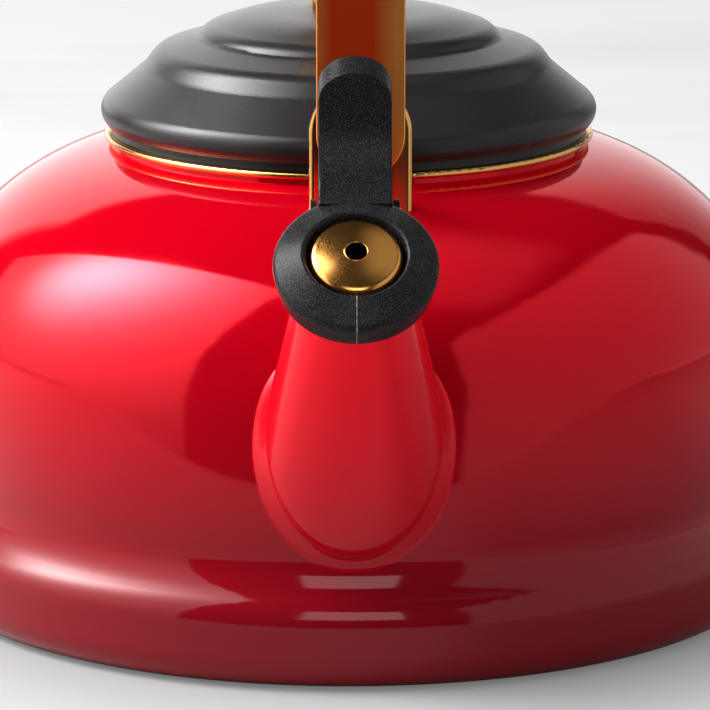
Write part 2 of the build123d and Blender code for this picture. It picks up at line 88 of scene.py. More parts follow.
def length(label, description, millimetres):
    """A size property whose default is given in millimetres."""
    default = millimetres * MM
    return FloatProperty(name=label, description=description, default=default, unit="LENGTH", precision=5)


def angle(label, description, degrees):
    """An angle property whose default is given in degrees."""
    return FloatProperty(name=label, description=description, default=math.radians(degrees), subtype="ANGLE")


def color(label, description, value):
    """A linear colour property."""
    return FloatVectorProperty(name=label, description=description, default=value, subtype="COLOR",
                               min=0, max=1)


def number(label, description, value):
    """A property without a unit, such as a brightness or a share."""
    return FloatProperty(name=label, description=description, default=value)


def count(label, description, value, least=3):
    """A property that counts faces."""
    return IntProperty(name=label, description=description, default=value, min=least)


class FinishSettings(bpy.types.PropertyGroup):
    """Colours of the kettle's finishes, and where they change."""

    enamel_top: color("Enamel, top", "Red of the shoulder", (0.62, 0.0, 0.010))
    # The spout's red is set brighter than the body's: painted light on the spout.
    spout_painted_light_red: color("Enamel, spout", "Red of the spout's mouth end", (0.86, 0.0, 0.012))
    enamel_foot: color("Enamel, foot", "Wine red that the enamel fades to at the foot", (0.14, 0.002, 0.006))
    fade_low: length("Fade start", "Height at which the body's enamel is fully dark", 10.0)
    fade_high: length("Fade end", "Height at which the enamel is fully bright", 112.0)
    ground_low: length("Ground start", "Height up to which the bright ground hardly shows", 28.0)
    ground_high: length("Ground end", "Height from which the bright ground shows most", 80.0)
    lid_black: color("Lid black", "Satin black of the lid", (0.010, 0.0085, 0.0085))
    brass: color("Brass", "Polished brass", (0.87, 0.49, 0.15))
    # The darker middle of each bracket is a painted dark reflection; its rims keep the polished brass.
    bracket_painted_reflection: color("Bracket field", "Darker brass between a bracket's rims", (0.16, 0.075, 0.02))
    bracket_inside: length("Bracket field's edge", "Where its rims start, from its middle", 9.0)
    bracket_rim: length("Bracket rim", "From where its rims are bright, from its middle", 10.4)
    disc_brass: color("Disc brass", "Deeper brass of the whistle's disc", (0.86, 0.40, 0.10))
    # The deep red in the middle of each strap is a painted reflection of red; its golden edges are the
    # brass's own tone.
    strap_painted_reflection: color("Strap brass", "Red lacquered brass in the middle of a strap", (0.78, 0.058, 0.007))
    strap_edge: color("Strap edge", "Golden brass along a strap's edges", (0.94, 0.37, 0.075))
    strap_inside: length("Strap's middle", "Where its golden edges start, from its middle", 5.0)
    strap_rim: length("Strap rim", "From where its edges are golden, from its middle", 10.8)
    # The near-black cup is painted shade, so the hole in the disc looks dark.
    cup_painted_shade: color("Aged brass", "Dull brass of the sound chamber", (0.045, 0.028, 0.012))
    nylon: color("Nylon", "Black of the whistle's moulding", (0.009, 0.0085, 0.009))
    grip_black: color("Grip", "Black of the grip", (0.016, 0.015, 0.015))
    steel: color("Steel", "Bare steel of the hardware", (0.55, 0.55, 0.54))
    silicone: color("Silicone", "Seal ring", (0.10, 0.10, 0.10))


class SpoutSettings(bpy.types.PropertyGroup):
    """Sizes of the spout, as in the solid it stands for, and of its rolled mouth and blended root."""

    belly_radius: length("Belly radius", "Radius that the spout's ends are placed from", 107.5)
    belly_height: length("Belly height", "Height that the spout's ends are placed from", 66.1)
    cap_overhang: length("Rim overhang", "Rim centre of the whistle beyond the belly", 32.5)
    cap_rise: length("Rim rise", "Rim centre of the whistle above the belly", 45.8)
    cap_angle: angle("Rim angle", "Climb of the whistle's axis", 49.5)
    mouth_back: length("Mouth depth", "Mouth behind the whistle's rim plane", 4.3)
    mouth_radius: length("Mouth radius", "Outer radius of the mouth", 12.8)
    root_inset: length("Root inset", "Root centre inside the belly", 22.3)
    root_drop: length("Root drop", "Root centre below the belly", 34.7)
    root_lean: angle("Root lean", "Climb of the root's axis", 20.9)
    root_half_width: length("Root half width", "Half of the root's width", 30.5)
    root_half_height: length("Root half height", "Half of the root's height", 21.8)
    wall: length("Wall", "Thickness of the spout's wall", 1.2)
    neck_radius: length("Neck radius", "Radius of the body's neck", 60.8)
    shoulder_overlap: length("Shoulder overlap", "Centre of the shoulder's ellipse inside the neck", 18.6)
    shoulder_rise: length("Shoulder rise", "Height of the shoulder's ellipse", 51.0)
    waist_radius: length("Waist radius", "Radius of the body at its waist", 104.2)
    waist_height: length("Waist height", "Height of the waist", 30.8)
    waist_round: length("Waist round", "Radius of the waist's hollow", 12.5)
    swell_width: length("Sideways swell", "Root's half width beyond the solid's", -1.6)
    swell_height: length("Upright swell", "Root's half height beyond the solid's", 4.0)
    bend_lead: length("Bend lead", "Where the root starts to bend, before its curl", 6.0)
    curl: length("Curl", "How far the root curls under before it meets the body", 2.5)
    blend_start: length("Blend start", "Height over the body at which the blend starts", 1.4)
    blend: length("Blend", "Reach of the blend over the body's side", 3.2)
    side_blend: length("Side blend", "How much further the blend reaches on the spout's sides", 2.8)
    seam_lift: length("Seam lift", "Least height of the blend over the body's side", 0.08)
    seam_depth: length("Seam depth", "How deep the blend's last ring is sunk into the body", 0.2)
    segments: count("Segments", "Faces round the spout", 128, least=24)
    lip_steps: count("Lip steps", "Faces over the rolled mouth", 6)
    blend_steps: count("Blend steps", "Faces along the root's bend, and along its blend", 10)


class WhistleSettings(bpy.types.PropertyGroup):
    """Sizes of the lip of the disc's hole and of the mould's parting line."""

    hole_radius: length("Hole radius", "Radius of the hole in the disc", 2.7)
    hole_height: length("Hole height", "Edge of the hole in front of the rim plane", 5.0)
    lip_radius: length("Lip", "Radius of the rolled lip round the hole", 0.17)
    lip_segments: count("Lip segments", "Faces round the lip's section", 14)
    lip_steps: count("Lip steps", "Faces along the lip", 64)
    parting_width: length("Parting width", "Width of the mould's parting line", 0.22)
    parting_height: length("Parting height", "How far the parting line stands out", 0.02)
    parting_depth: length("Parting depth", "Thickness of the parting line, part of it sunk in", 0.06)


class StageSettings(bpy.types.PropertyGroup):
    """Camera, lights and table."""

    camera_distance: length("Camera distance", "Camera to the kettle's axis, along the table", 1400.0)
    camera_height: length("Camera height", "Camera above the table", 376.8)
    camera_turn: angle("Camera turn", "Camera's turn about the kettle's axis", 0.7)
    camera_pitch: angle("Camera pitch", "How far the camera looks down", 12.802)
    camera_lens: number("Lens", "Focal length in millimetres", 282.9)
    camera_shift: number("Shift", "Sideways shift of the frame", 0.00887)
    floor: color("Table", "Pale table", (0.55, 0.55, 0.55))
    floor_lift: number("Table lift", "How far the camera sees the table evened out", 0.65)
    floor_glow: number("Table glow", "Level that the table is evened out to", 1.38)
    # The table is darker in reflections than to the camera: painted shade.
    floor_reflected_shade: number("Table in reflections", "Share of its colour there", 0.52)
    table_edge: length("Table edge", "Front edge of the mirrored table in front of the axis", 205.0)
    # The glow is lower next to the kettle: a painted shadow round its foot.
    shadow_start: length("Shadow start", "Distance from the axis at which the glow starts to rise", 104.0)
    shadow_end: length("Shadow end", "Distance from the axis at which the glow is full", 165.0)
    shadow_share: number("Shadow", "Glow next to the kettle, as a share of the full one", 0.3)
    key_level: number("Key light", "Brightest part of the left softbox", 30.0)
    halo_share: number("Halo", "Halo round the hot spot, as a share of it", 0.1)
    wall_level: number("Side wall", "Brightness of the pale wall on the right", 0.62)
    back_level: number("Backdrop", "Brightness of the backdrop", 1.8)
    ceiling_level: number("Ceiling", "Brightness of the ceiling on the right", 0.4)
    card_level: number("Front card", "Brightness of the card over the camera", 2.8)
    fill_level: number("Fill", "Even light from all sides", 0.5)
    room_level: number("Room", "Brightness of the dark room in reflections", 0.02)


def settings():
    """The scene's property groups: finish, spout, whistle and stage."""
    scene = bpy.context.scene
    return scene.kettle_finish, scene.kettle_spout, scene.kettle_whistle, scene.kettle_stage


def new_material(name):
    """A plain principled material: the material, its node tree and its shader."""
    material = bpy.data.materials.new(name)
    material.use_nodes = True
    return material, material.node_tree, material.node_tree.nodes["Principled BSDF"]


def feed(tree, socket, value):
    """Give a socket a value, or link it to another socket."""
    if isinstance(value, bpy.types.NodeSocket):
        tree.links.new(value, socket)
    else:
        socket.default_value = value


def add_node(tree, kind, inputs=None, **values):
    """Add a node, set its properties and feed its sockets."""
    node = tree.nodes.new(kind)
    for key, value in values.items():
        setattr(node, key, value)
    for key, value in (inputs or {}).items():
        feed(tree, node.inputs[key], value)
    return node


def set_sockets(tree, shader, **values):
    """Feed the shader's sockets, which are named as on the shader, in small letters."""
    for key, value in values.items():
        feed(tree, shader.inputs[key.replace("_", " ").title().replace("Ior", "IOR")], value)


def object_point(tree):
    """Object coordinates of the surface."""
    return add_node(tree, "ShaderNodeTexCoord").outputs["Object"]


def axis_value(tree, point, axis):
    """One coordinate of a point."""
    return add_node(tree, "ShaderNodeSeparateXYZ", {"Vector": point}).outputs[axis]


def noise(tree, point, scale, detail=2.0, stretch=None):
    """Noise with a number of grains per metre, stretched along the axes if asked."""
    if stretch:
        point = add_node(tree, "ShaderNodeMapping", {"Vector": point, "Scale": stretch}).outputs["Vector"]
    inputs = {"Vector": point, "Scale": scale, "Detail": detail}
    return add_node(tree, "ShaderNodeTexNoise", inputs).outputs["Fac"]


def spread(tree, value, low, high, to_low, to_high):
    """Map a value from one range to another, held at its ends."""
    inputs = {"Value": value, "From Min": low, "From Max": high, "To Min": to_low, "To Max": to_high}
    return add_node(tree, "ShaderNodeMapRange", inputs).outputs["Result"]


def eased(tree, value, low, high, to_low, to_high):
    """Map a value as spread does, with a soft start and end."""
    result = spread(tree, value, low, high, to_low, to_high)
    result.node.interpolation_type = "SMOOTHSTEP"
    return result


def varied(tree, grain, low, high):
    """Let a noise vary a value between two ends."""
    return spread(tree, grain, *NOISE_RANGE, low, high)


def calculate(tree, operation, *values):
    """A sum, product or the like of values, each a number or a socket."""
    return add_node(tree, "ShaderNodeMath", dict(enumerate(values)), operation=operation).outputs[0]


def tint(tree, factor, first, second):
    """Mix two colours, each a value or a socket, by a factor that is a socket."""
    node = add_node(tree, "ShaderNodeMix", data_type="RGBA")
    sockets = [socket for socket in node.inputs if socket.enabled]
    for socket, value in zip(sockets, (factor, first, second)):
        feed(tree, socket, value if isinstance(value, bpy.types.NodeSocket) else (*value, 1.0))
    return next(socket for socket in node.outputs if socket.enabled)


def shade(tone, factor):
    """A colour made lighter or darker."""
    return [channel * factor for channel in tone]


def bump(tree, height, strength, distance):
    """Bump from a height field."""
    inputs = {"Height": height, "Strength": strength, "Distance": distance}
    return add_node(tree, "ShaderNodeBump", inputs).outputs["Normal"]


def enamel_material(finish, name, bright, low):
    """Gloss red enamel over a bright ground, fading to wine red from a height down, with a faint ripple."""
    material, tree, shader = new_material(name)
    point = object_point(tree)
    height = axis_value(tree, point, "Z")
    red = tint(tree, eased(tree, height, low, finish.fade_high, 0.0, 1.0), finish.enamel_foot, bright)
    mottle = varied(tree, noise(tree, point, scale=9.0), 0.0, 0.06)
    ripple = noise(tree, point, scale=160.0)
    set_sockets(
        tree, shader,
        base_color=tint(tree, mottle, red, finish.enamel_foot),
        metallic=spread(tree, height, finish.ground_low, finish.ground_high, 0.06, 0.5),
        roughness=varied(tree, noise(tree, point, scale=40.0), 0.05, 0.09),
        normal=bump(tree, ripple, strength=0.02, distance=0.4 * MM),
        specular_ior_level=0.29,
    )
    return material


def lid_material(finish):
    """Satin black enamel with a fine grain."""
    material, tree, shader = new_material("satin_lid")
    point = object_point(tree)
    grain = noise(tree, point, scale=2600.0, detail=1.0)
    cloud = noise(tree, point, scale=30.0)
    set_sockets(
        tree, shader,
        base_color=tint(tree, cloud, finish.lid_black, shade(finish.lid_black, 1.5)),
        roughness=varied(tree, cloud, 0.25, 0.30),
        normal=bump(tree, grain, strength=0.22, distance=0.2 * MM),
        specular_ior_level=0.26,
    )
    return material


def brass_material(name, tone, roughness=0.2, lines=UPRIGHT_LINES, scratch=0.03, metallic=1.0, field=None):
    """Polished or lacquered brass with fine lines along one axis. A field is a painted reflection: another
    tone for the middle of a face, and the distances from the middle at which it starts to end and ends."""
    material, tree, shader = new_material(name)
    point = object_point(tree)
    scratches = noise(tree, point, scale=900.0, detail=3.0, stretch=lines)
    cloud = noise(tree, point, scale=45.0)
    clouded = tint(tree, cloud, tone, shade(tone, 0.82))
    # Paint a reflection over the middle of the face.
    if field:
        field_tone, inside, rim = field
        across = calculate(tree, "ABSOLUTE", axis_value(tree, point, "X"))
        clouded = tint(tree, spread(tree, across, inside, rim, 0.0, 1.0), field_tone, clouded)
    set_sockets(
        tree, shader,
        base_color=clouded,
        metallic=metallic,
        roughness=varied(tree, scratches, roughness * 0.92, roughness * 1.1),
        normal=bump(tree, scratches, strength=scratch, distance=0.1 * MM),
    )
    return material


def nylon_material(finish):
    """Black moulded nylon with a spark-eroded grain, and pale dots painted into its colour as glints."""
    material, tree, shader = new_material("moulded_nylon")
    point = object_point(tree)
    grain = noise(tree, point, scale=2600.0, detail=1.0)
    # Pale dots in the colour are painted glints of the grain.
    dots = add_node(tree, "ShaderNodeTexVoronoi", {"Vector": point, "Scale": 4200.0}).outputs["Distance"]
    painted_glints = spread(tree, dots, 0.10, 0.28, 1.0, 0.0)
    set_sockets(
        tree, shader,
        base_color=tint(tree, painted_glints, finish.nylon, shade(finish.nylon, 17.0)),
        roughness=varied(tree, grain, 0.18, 0.26),
        normal=bump(tree, grain, strength=0.25, distance=0.3 * MM),
        specular_ior_level=0.07,
    )
    return material


def parting_material(finish):
    """Pale edge of a mould's parting line, broken here and there."""
    material, tree, shader = new_material("parting_nylon")
    pale_patches = spread(tree, noise(tree, object_point(tree), scale=700.0), 0.35, 0.6, 0.0, 1.0)
    pale = tint(tree, pale_patches, finish.nylon, shade(finish.nylon, 26.0))
    set_sockets(tree, shader, base_color=pale, roughness=0.4)
    return material


def grip_material(finish):
    """Satin black moulding of the grip, with a fine grain."""
    material, tree, shader = new_material("satin_grip")
    point = object_point(tree)
    grain = noise(tree, point, scale=1800.0, detail=1.0)
    cloud = noise(tree, point, scale=60.0)
    set_sockets(
        tree, shader,
        base_color=tint(tree, cloud, finish.grip_black, shade(finish.grip_black, 1.6)),
        roughness=varied(tree, cloud, 0.30, 0.40),
        normal=bump(tree, grain, strength=0.15, distance=0.2 * MM),
        ior=1.5,
    )
    return material


def steel_material(finish):
    """Brushed steel of pins, screws and plates."""
    material, tree, shader = new_material("brushed_steel")
    lines = noise(tree, object_point(tree), scale=700.0, detail=3.0, stretch=LEVEL_LINES)
    set_sockets(
        tree, shader,
        base_color=tint(tree, lines, finish.steel, shade(finish.steel, 0.8)),
        metallic=1.0,
        roughness=varied(tree, lines, 0.25, 0.38),
        normal=bump(tree, lines, strength=0.1, distance=0.1 * MM),
    )
    return material


def silicone_material(finish):
    """Matt silicone."""
    material, tree, shader = new_material("matt_silicone")
    cloud = noise(tree, object_point(tree), scale=120.0)
    set_sockets(
        tree, shader,
        base_color=tint(tree, cloud, finish.silicone, shade(finish.silicone, 1.3)),
        roughness=varied(tree, cloud, 0.5, 0.6),
    )
    return material


def dress(material, *nodes):
    """Give CAD nodes a finish."""
    for name in nodes:
        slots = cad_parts[name].data.materials
        slots.clear()
        slots.append(material)


def finished(name):
    """A finish made by an earlier operator."""
    material = bpy.data.materials.get(name)
    if material is None:
        raise RuntimeError(f"the finish {name} isn't made yet")
    return material


def new_piece(name, mesh, material, body, slot, *nodes):
    """Turn a bmesh into an object that rides on a body and stands for the CAD nodes given, if any."""
    data = bpy.data.meshes.new(name)
    bmesh.ops.recalc_face_normals(mesh, faces=mesh.faces)
    for face in mesh.faces:
        face.smooth = True
    mesh.to_mesh(data)
    mesh.free()
    piece = bpy.data.objects.new(name, data)
    bpy.context.scene.collection.objects.link(piece)
    data.materials.append(material)
    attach(piece, body)
    if nodes:
        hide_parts(*nodes)


def leaning(center, climb):
    """Matrix of a plane whose normal points forwards and climbs by an angle, with X sideways."""
    normal = Vector((0, -math.cos(climb), math.sin(climb)))
    side = Vector((1, 0, 0))
    up = normal.cross(side)
    return Matrix.Translation(center) @ Matrix((side, up, normal)).transposed().to_4x4()


def cap_frame(size):
    """Frame of the whistle's rim, with its axis along Z."""
    center = (0, -size.belly_radius - size.cap_overhang, size.belly_height + size.cap_rise)
    return leaning(center, size.cap_angle)


class KETTLE_OT_finishes(bpy.types.Operator):
    """Make every finish and give it to the solids that keep their own shape"""

    bl_idname = "kettle.finishes"
    bl_label = "Finishes"

    def execute(self, context):
        finish = settings()[0]
        dress(enamel_material(finish, "gloss_enamel", finish.enamel_top, finish.fade_low), "body_shell")
        # The spout gets a brighter copy of the body's enamel: painted light.
        dress(enamel_material(finish, "spout_enamel", finish.spout_painted_light_red, 0.0), "spout")
        dress(lid_material(finish), "lid_shell", "lid_collar")
        dress(brass_material("polished_brass", finish.brass),
              "neck_trim", "front_pivot_rivet", "rear_pivot_rivet", "knob")
        # Brackets: polished brass with a painted dark reflection in the middle of each plate.
        bracket_painted_reflection = finish.bracket_painted_reflection, finish.bracket_inside, finish.bracket_rim
        dress(brass_material("bracket_brass", finish.brass, field=bracket_painted_reflection),
              "front_bracket", "rear_bracket")
        dress(brass_material("disc_brass", finish.disc_brass, scratch=0.004), "whistle_disc")
        # The whistle's cup gets near-black brass: painted shade seen through the disc's hole.
        dress(brass_material("cup_painted_shade", finish.cup_painted_shade, roughness=0.4), "whistle_cup")
        # Straps: golden brass with a painted red reflection in the middle of each.
        painted_strap_reflection = finish.strap_painted_reflection, finish.strap_inside, finish.strap_rim
        dress(brass_material("lacquered_brass", finish.strap_edge, roughness=0.3, lines=STRAP_LINES,
                             scratch=0.002, metallic=0.9, field=painted_strap_reflection),
              "front_strap", "rear_strap")
        dress(nylon_material(finish),
              "whistle_lever", "spout_collar", "front_pivot_washer", "rear_pivot_washer")
        parting_material(finish)
        dress(grip_material(finish), "grip")
        dress(steel_material(finish), "base_plate", "hinge_pin", "hinge_spring",
              "knob_screw", "knob_washer", "grip_screws")
        dress(silicone_material(finish), "whistle_seal")
        return {"FINISHED"}


def body_radius(size, height):
    """Radius of the body's side at a height: shoulder ellipse, wall arc or waist hollow."""
    above = height - size.belly_height
    if above >= 0:
        center = size.neck_radius - size.shoulder_overlap
        return center + (size.belly_radius - center) * math.sqrt(1 - (above / size.shoulder_rise) ** 2)
    lean = 2 * math.atan2(size.belly_radius - size.waist_radius, size.belly_height - size.waist_height)
    hollow_center = size.waist_radius + size.waist_round
    wall_inset = size.belly_radius - hollow_center + size.waist_round * math.cos(lean)
    wall_drop = size.belly_height - size.waist_height - size.waist_round * math.sin(lean)
    if -above <= wall_drop:
        arc = (wall_drop**2 + wall_inset**2) / (2 * wall_inset)
        return size.belly_radius - arc + math.sqrt(arc**2 - above**2)
    return hollow_center - math.sqrt(size.waist_round**2 - (height - size.waist_height) ** 2)


def lift_from_body(size, point):
    """How far a point stands out from the body's side, measured level."""
    return math.hypot(point.x, point.y) - body_radius(size, point.z)


def on_body(size, point, lift=0.0):
    """The point moved level onto the body's side, or to a lift over it."""
    flat = Vector((point.x, point.y, 0)).normalized()
    return flat * (body_radius(size, point.z) + lift) + Vector((0, 0, point.z))


def body_normal(size, point):
    """Normal of the body's side at a point on it."""
    step = 0.01 * MM
    slope = (body_radius(size, point.z + step) - body_radius(size, point.z - step)) / (2 * step)
    return (Vector((point.x, point.y, 0)).normalized() - Vector((0, 0, slope))).normalized()


def grown_ring(mesh, ring, edges, spots):
    """Extrude a ring of edges onto spots: its new vertices, in the old order, and its new edges."""
    geom = bmesh.ops.extrude_edge_only(mesh, edges=edges)["geom"]
    fresh = {item for item in geom if isinstance(item, bmesh.types.BMVert)} - set(ring)
    made_edges = [item for item in geom if isinstance(item, bmesh.types.BMEdge)]
    fresh_edges = [edge for edge in made_edges if fresh.issuperset(edge.verts)]
    fresh_ring = []
    for vert, spot in zip(ring, spots):
        neighbours = [edge.other_vert(vert) for edge in vert.link_edges]
        after = next(other for other in neighbours if other in fresh)
        after.co = spot
        fresh_ring.append(after)
    return fresh_ring, fresh_edges


class KETTLE_OT_spout(bpy.types.Operator):
    """Model the spout with a rolled mouth and a blend into the body's side"""

    bl_idname = "kettle.spout"
    bl_label = "Spout"

    def execute(self, context):
        size = settings()[1]
        mouth = cap_frame(size) @ Matrix.Translation((0, 0, -size.mouth_back))
        root_center = (0, size.root_inset - size.belly_radius, size.belly_height - size.root_drop)
        root = leaning(root_center, size.root_lean)
        turns = [2 * math.pi * step / size.segments for step in range(size.segments)]

        def line(turn, inset, swell_width=0.0, swell_height=0.0):
            """Mouth and root ends of one straight line of the spout's side, moved inwards."""
            around = Vector((math.cos(turn), math.sin(turn), 0))
            half_width = size.root_half_width + swell_width - inset
            half_height = size.root_half_height + swell_height - inset
            start = mouth @ (around * (size.mouth_radius - inset))
            return start, root @ (around * Vector((half_width, half_height, 0)))

        def last_above(path, lift, far):
            """The greatest way along a path at which its point still stands over the body by a lift."""
            near = 0.0
            for _ in range(HALVINGS):
                middle = (near + far) / 2
                if lift_from_body(size, path(middle)) > lift:
                    near = middle
                else:
                    far = middle
            return near

        def seam(turn):
            """Points that draw one line of the outer side: start, bend start, bend, curl, touch and foot."""
            start, end = line(turn, 0, size.swell_width, size.swell_height)
            along = (end - start).normalized()
            inward = root.translation - end
            inward = (inward - inward.project(along)).normalized()
            under = (along + inward) * size.curl
            way = last_above(lambda far: start + along * far + under, size.blend_start, (end - start).length)
            bend = start + along * way
            curl = bend + under
            touch = on_body(size, curl + under.normalized() * size.blend_start)
            outward = -inward + inward.project(body_normal(size, touch))
            reach = size.blend + size.side_blend * abs(math.cos(turn))
            foot = on_body(size, touch + outward.normalized() * reach)
            return start, bend - along * size.bend_lead, bend, curl, touch, foot

        seams = [seam(turn) for turn in turns]

        def curve_ring(first, share):
            """Points of a ring on the curves that three neighbouring points of each seam draw."""
            rest = 1 - share
            ring = []
            for points in seams:
                a, b, c = points[first : first + 3]
                point = a * rest**2 + b * (2 * rest * share) + c * share**2
                low = lift_from_body(size, point) <= size.seam_lift
                ring.append(on_body(size, point, size.seam_lift) if low else point)
            return ring

        def inner_ring(share):
            """Points of the inner side, from the mouth at 0 to the body's wall at 1."""
            ends = [line(turn, size.wall) for turn in turns]
            ways = [(points[3] - points[0]).length * share for points in seams]
            return [start + (end - start).normalized() * way for (start, end), way in zip(ends, ways)]

        def lip_ring(turn_over):
            """Points of the rolled mouth, from its inner edge to its outer edge."""
            middle = size.mouth_radius - size.wall / 2
            radius = middle - size.wall / 2 * math.cos(turn_over)
            lift = size.wall / 2 * (math.sin(turn_over) - 1)
            return [mouth @ Vector((radius * math.cos(t), radius * math.sin(t), lift)) for t in turns]

        rings = [inner_ring(share) for share in INNER_RINGS]
        rings += [lip_ring(math.pi * step / size.lip_steps) for step in range(size.lip_steps + 1)]
        rings += [[points[0].lerp(points[1], share) for points in seams] for share in OUTER_RINGS]
        rings += [curve_ring(1, step / size.blend_steps) for step in range(size.blend_steps)]
        rings += [curve_ring(3, step / size.blend_steps) for step in range(size.blend_steps + 1)]
        rings.append([on_body(size, points[-1], -size.seam_depth) for points in seams])

        mesh = bmesh.new()
        made = bmesh.ops.create_circle(mesh, segments=size.segments, radius=size.mouth_radius)
        ring = made["verts"]
        for vert, spot in zip(ring, rings[0]):
            vert.co = spot
        first_edges = list(mesh.edges)
        edges = first_edges
        for spots in rings[1:]:
            ring, edges = grown_ring(mesh, ring, edges, spots)
            if spots is rings[-2]:
                for edge in edges:
                    edge.smooth = False
        bmesh.ops.bridge_loops(mesh, edges=first_edges + edges)
        new_piece("spout_tube", mesh, finished("spout_enamel"), "kettle", "enamel_red", "spout")
        return {"FINISHED"}


class KETTLE_OT_hole_lip(bpy.types.Operator):
    """Model the rolled lip round the hole of the whistle's disc"""

    bl_idname = "kettle.hole_lip"
    bl_label = "Hole Lip"

    def execute(self, context):
        _, size, whistle, _ = settings()
        mesh = bmesh.new()
        place = Matrix.Translation((whistle.hole_radius, 0, whistle.hole_height))
        upright = place @ Matrix.Rotation(math.pi / 2, 4, "X")
        made = bmesh.ops.create_circle(mesh, segments=whistle.lip_segments, radius=whistle.lip_radius,
                                       matrix=upright)
        bmesh.ops.spin(mesh, geom=[*made["verts"], *mesh.edges], cent=(0, 0, 0), axis=(0, 0, 1),
                       angle=2 * math.pi, steps=whistle.lip_steps, use_merge=True)
        mesh.transform(cap_frame(size))
        new_piece("disc_hole_lip", mesh, finished("disc_brass"), "whistle", "brass")
        return {"FINISHED"}


def cut_away(mesh, place, direction):
    """Cut a mesh along a plane and drop the side that the direction points to."""
    geom = [*mesh.verts, *mesh.edges, *mesh.faces]
    bmesh.ops.bisect_plane(mesh, geom=geom, dist=ON_PLANE, plane_co=place, plane_no=direction,
                           clear_outer=True)


class KETTLE_OT_parting_line(bpy.types.Operator):
    """Model the thin parting line that the mould leaves on the lower half of the whistle's ring"""

    bl_idname = "kettle.parting_line"
    bl_label = "Parting Line"

    def execute(self, context):
        _, size, whistle, _ = settings()
        half_width = whistle.parting_width / 2
        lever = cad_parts["whistle_lever"]
        mesh = bmesh.new()
        mesh.from_mesh(lever.data)
        mesh.transform(lever.matrix_world)
        bmesh.ops.remove_doubles(mesh, verts=mesh.verts, dist=WELD)
        for side in (-1, 1):
            cut_away(mesh, (side * half_width, 0, 0), (side, 0, 0))
        cap = cap_frame(size)
        cut_away(mesh, cap.translation, cap.col[1].xyz)
        mesh.normal_update()
        front = cad_box[0][1]
        for vert, shift in [(vert, vert.normal * whistle.parting_height) for vert in mesh.verts]:
            vert.co += shift
            vert.co.y = max(vert.co.y, front)
        bmesh.ops.solidify(mesh, geom=mesh.faces[:], thickness=whistle.parting_depth)
        new_piece("lever_parting_line", mesh, finished("parting_nylon"), "whistle", "nylon_black")
        return {"FINISHED"}


def faded(across, upward):
    """Brightness of a panel that fades at its edges. Each list gives the shares of the width or height where
    it is dark, full, full and dark, and how bright the dark ends are."""

    def brightness(tree, spot):
        strength = 1.0
        for axis, (start, full, last, end, low) in (("X", across), ("Y", upward)):
            way = axis_value(tree, spot, axis)
            for edge, inner in ((start, full), (end, last)):
                strength = calculate(tree, "MULTIPLY", strength, eased(tree, way, edge, inner, low, 1.0))
        return strength

    return brightness


def glowing(center, reach, halo, halo_fall=0.1):
    """Brightness of a diffuser with a lamp behind it: a hot spot with a halo that falls off more slowly."""

    def brightness(tree, spot):
        scale = [1 / size for size in reach]
        place = [-middle / size for middle, size in zip(center, reach)]
        inputs = {"Vector": spot, "Location": (*place, 0.0), "Scale": (*scale, 0.0)}
        offset = add_node(tree, "ShaderNodeMapping", inputs).outputs["Vector"]
        square = add_node(tree, "ShaderNodeVectorMath", {0: offset, 1: offset}, operation="DOT_PRODUCT")
        fall = calculate(tree, "MULTIPLY", square.outputs["Value"], -1.0)
        spot_glow = calculate(tree, "EXPONENT", fall)
        halo_glow = calculate(tree, "EXPONENT", calculate(tree, "MULTIPLY", fall, halo_fall))
        return calculate(tree, "ADD", spot_glow, calculate(tree, "MULTIPLY", halo_glow, halo))

    return brightness


def softbox(name, place, width, height, level, brightness):
    """A soft area light whose brightness over its face is given by a function."""
    light = bpy.data.lights.new(name, "AREA")
    light.shape = "RECTANGLE"
    light.size = width
    light.size_y = height
    light.energy = level * math.pi * width * height
    light.use_nodes = True
    tree = light.node_tree
    spot = add_node(tree, "ShaderNodeNewGeometry").outputs["Parametric"]
    tree.links.new(brightness(tree, spot), tree.nodes["Emission"].inputs["Strength"])
    item = bpy.data.objects.new(name, light)
    bpy.context.scene.collection.objects.link(item)
    item.matrix_world = place


def facing(spot, target):
    """Matrix of a light or a camera at a point that looks at a target."""
    turn = (Vector(target) - Vector(spot)).to_track_quat("-Z", "Y")
    return Matrix.Translation(spot) @ turn.to_matrix().to_4x4()


def hung(first, last, fall):
    """Matrix, width and height of a panel light hung from a level edge, which falls along a vector."""
    first, last, fall = Vector(first), Vector(last), Vector(fall)
    across = (last - first).normalized()
    up = -fall.normalized()
    turn = Matrix((across, up, across.cross(up))).transposed().to_4x4()
    return Matrix.Translation((first + last + fall) / 2) @ turn, (last - first).length, fall.length


def panel(name, corners, material):
    """A flat four-sided panel of the stage."""
    data = bpy.data.meshes.new(name)
    mesh = bmesh.new()
    mesh.faces.new([mesh.verts.new(corner) for corner in corners])
    mesh.to_mesh(data)
    mesh.free()
    data.materials.append(material)
    item = bpy.data.objects.new(name, data)
    bpy.context.scene.collection.objects.link(item)
    return item


def only_reflected(item):
    """Show a panel in reflections alone."""
    item.visible_camera = False
    item.visible_diffuse = False
    item.visible_shadow = False
    item.visible_transmission = False


def emission_material(name, strength):
    """A material that gives even white light."""
    material = bpy.data.materials.new(name)
    material.use_nodes = True
    tree = material.node_tree
    tree.nodes.clear()
    light = add_node(tree, "ShaderNodeEmission", {"Color": (*WHITE, 1.0), "Strength": strength})
    add_node(tree, "ShaderNodeOutputMaterial", {"Surface": light.outputs["Emission"]})
    return material


